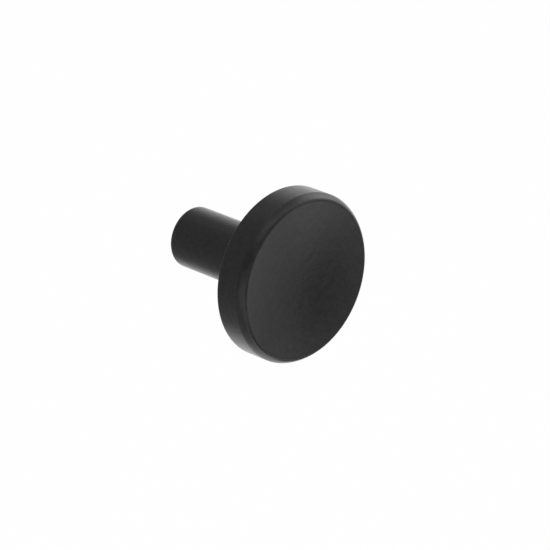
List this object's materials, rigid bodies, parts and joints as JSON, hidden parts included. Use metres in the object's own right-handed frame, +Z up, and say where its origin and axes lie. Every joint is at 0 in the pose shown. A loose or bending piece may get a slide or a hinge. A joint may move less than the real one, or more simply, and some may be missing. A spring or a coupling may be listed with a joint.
{
  "type": "cabinet knob",
  "caption": "Round cabinet knob with a dished face and a bevelled rim on a plain round stem, matt black, held by a screw in the tapped hole of its base.",
  "frame": {"origin": "centre of the stem's base face, on the surface that the knob is fixed to", "axes": "as fixed on an upright door: +Y along the knob's axis into the door, the dished face looks towards -Y, +Z up"},
  "size_m": [0.034, 0.0318, 0.034],
  "materials": {
    "black_coat": "matt black powder coat on die-cast zinc alloy"
  },
  "bodies": {
    "root": {"knob": "black_coat"}
  },
  "joints": []
}
